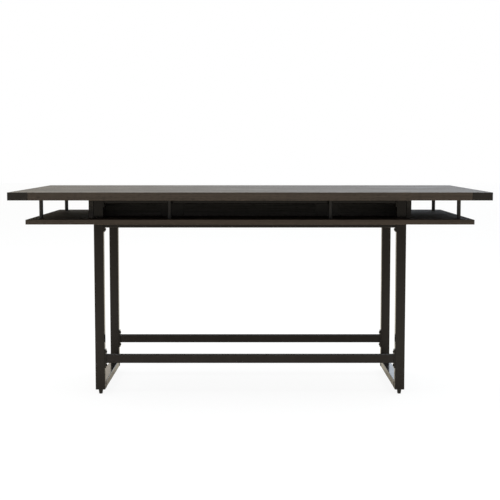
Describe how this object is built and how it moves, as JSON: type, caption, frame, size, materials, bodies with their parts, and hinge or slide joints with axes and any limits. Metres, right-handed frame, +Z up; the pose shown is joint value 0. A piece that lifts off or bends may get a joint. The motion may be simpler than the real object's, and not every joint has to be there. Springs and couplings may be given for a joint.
{
  "type": "standing-height conference table",
  "caption": "Standing-height table with woodgrain top and steel corner caps, open storage shelf hung below on posts, tubular sled leg frames, footrest stretchers and levelling glides.",
  "frame": {"origin": "on the floor under the middle of the tabletop", "axes": "+X along the table to the right end, +Y from the front to the rear, +Z up"},
  "size_m": [2.4, 1.2, 1.068],
  "materials": {
    "woodgrain_laminate": "matt brown woodgrain laminate with fine streaks along the length",
    "edge_banding": "brown woodgrain edge banding, satin",
    "powder_coated_steel": "black-brown fine-textured powder coat, satin",
    "black_plastic": "black moulded plastic, lightly textured",
    "zinc_plated_steel": "bright zinc plate"
  },
  "bodies": {
    "table": {"tabletop_core": "woodgrain_laminate", "tabletop_laminate": "woodgrain_laminate", "tabletop_backer": "woodgrain_laminate", "shelf_panel": "woodgrain_laminate", "wireway_panel_front": "woodgrain_laminate", "wireway_panel_rear": "woodgrain_laminate", "bay_side_left": "woodgrain_laminate", "bay_side_right": "woodgrain_laminate", "tabletop_edge_bands": "edge_banding", "shelf_edge_bands": "edge_banding", "corner_cap_front_left": "powder_coated_steel", "access_cover_front_left": "powder_coated_steel", "upright_front_left": "powder_coated_steel", "foot_plug_front_left": "black_plastic", "corner_cap_front_right": "powder_coated_steel", "access_cover_front_right": "powder_coated_steel", "upright_front_right": "powder_coated_steel", "foot_plug_front_right": "black_plastic", "corner_cap_rear_left": "powder_coated_steel", "access_cover_rear_left": "powder_coated_steel", "upright_rear_left": "powder_coated_steel", "foot_plug_rear_left": "black_plastic", "corner_cap_rear_right": "powder_coated_steel", "access_cover_rear_right": "powder_coated_steel", "upright_rear_right": "powder_coated_steel", "foot_plug_rear_right": "black_plastic", "post_front_1": "powder_coated_steel", "post_front_2": "powder_coated_steel", "post_front_3": "powder_coated_steel", "post_front_4": "powder_coated_steel", "footrest_front": "powder_coated_steel", "shelf_beam_front": "powder_coated_steel", "top_rail_front": "powder_coated_steel", "post_rear_1": "powder_coated_steel", "post_rear_2": "powder_coated_steel", "post_rear_3": "powder_coated_steel", "post_rear_4": "powder_coated_steel", "footrest_rear": "powder_coated_steel", "shelf_beam_rear": "powder_coated_steel", "top_rail_rear": "powder_coated_steel", "runner_left": "powder_coated_steel", "runner_right": "powder_coated_steel", "footrest_flanges": "powder_coated_steel", "shelf_beam_flanges": "powder_coated_steel", "top_rail_flanges": "powder_coated_steel", "flange_bolts": "powder_coated_steel", "cover_screws": "powder_coated_steel", "cable_grommets": "black_plastic", "weld_nuts": "zinc_plated_steel", "tabletop_screws": "zinc_plated_steel", "shelf_screws": "zinc_plated_steel", "post_screws": "zinc_plated_steel", "post_studs": "zinc_plated_steel", "panel_brackets": "zinc_plated_steel", "bracket_screws": "zinc_plated_steel"},
    "glide_front_left": {"glide_front_left": "black_plastic"},
    "glide_front_right": {"glide_front_right": "black_plastic"},
    "glide_rear_left": {"glide_rear_left": "black_plastic"},
    "glide_rear_right": {"glide_rear_right": "black_plastic"}
  },
  "joints": [
    {"name": "glide_front_left_travel", "type": "slide", "parent": "table", "child": "glide_front_left", "axis": [0, 0, -1], "range_m": [0, 0.015]},
    {"name": "glide_front_right_travel", "type": "slide", "parent": "table", "child": "glide_front_right", "axis": [0, 0, -1], "range_m": [0, 0.015]},
    {"name": "glide_rear_left_travel", "type": "slide", "parent": "table", "child": "glide_rear_left", "axis": [0, 0, -1], "range_m": [0, 0.015]},
    {"name": "glide_rear_right_travel", "type": "slide", "parent": "table", "child": "glide_rear_right", "axis": [0, 0, -1], "range_m": [0, 0.015]}
  ]
}
